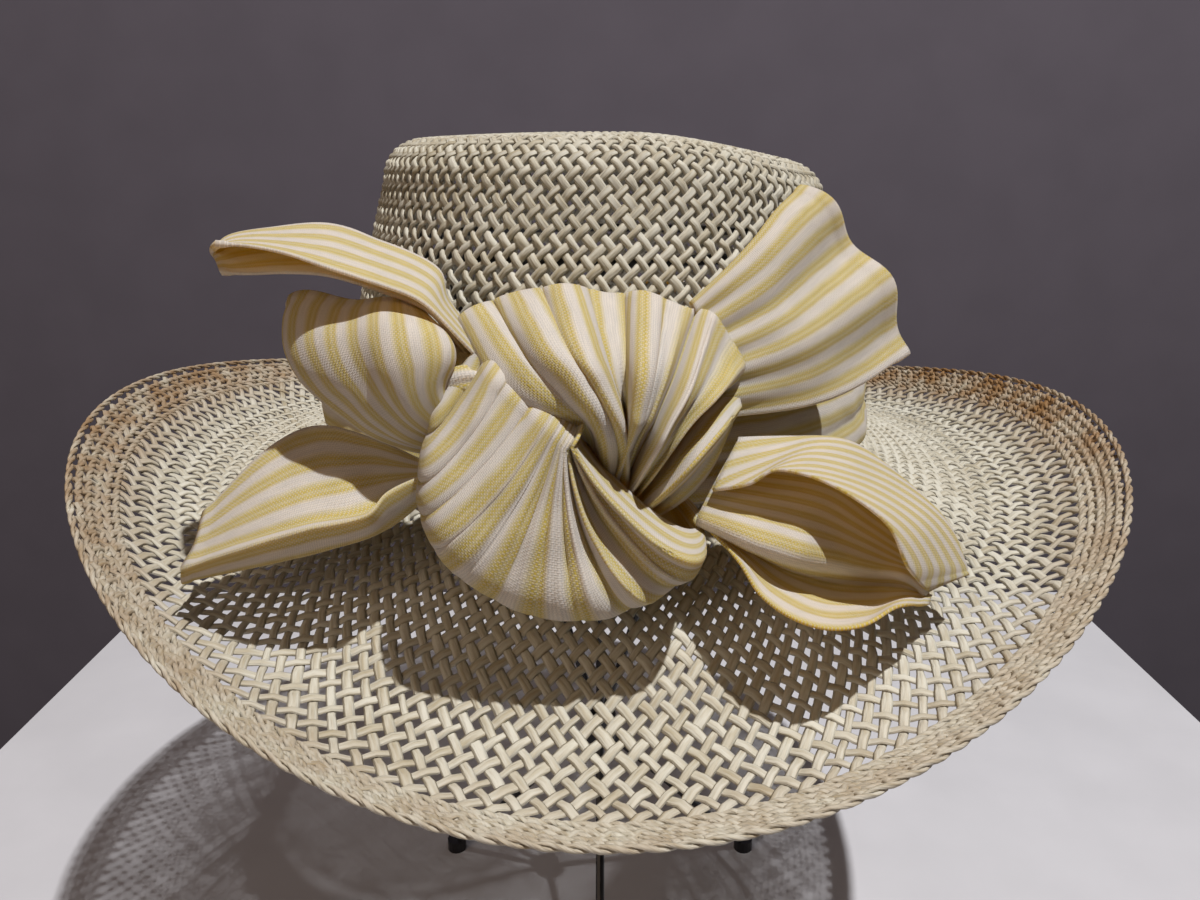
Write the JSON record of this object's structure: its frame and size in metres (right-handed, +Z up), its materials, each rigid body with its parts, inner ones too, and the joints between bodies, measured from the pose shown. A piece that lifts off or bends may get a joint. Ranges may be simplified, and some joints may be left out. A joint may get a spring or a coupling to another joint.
{
  "type": "straw sun hat on a wire stand",
  "caption": "Wide-brimmed open-weave straw sun hat with an oval crown and a striped cotton scarf knotted at the front, held on a thin black wire stand.",
  "frame": {"origin": "on the floor under the middle of the brim's outline", "axes": "+Z up, -Y towards the front of the hat where the scarf is knotted, +X to the right as seen from the front"},
  "size_m": [0.3124, 0.3354, 0.2995],
  "materials": {
    "straw": "open plain weave of natural straw, matte",
    "cotton": "plain-woven cotton, white with yellow stripes",
    "wire": "black satin paint"
  },
  "bodies": {
    "root": {"straw_body": "straw", "scarf_band": "cotton", "scarf_knot": "cotton", "left_upper_tail": "cotton", "left_loop": "cotton", "left_lower_tail": "cotton", "right_upper_tail": "cotton", "right_lower_tail": "cotton", "stand_ring": "wire", "stand_hub": "wire", "stand_arm_front": "wire", "stand_arm_right": "wire", "stand_arm_left": "wire", "stand_leg_front": "wire", "stand_leg_right": "wire", "stand_leg_left": "wire"}
  },
  "joints": []
}
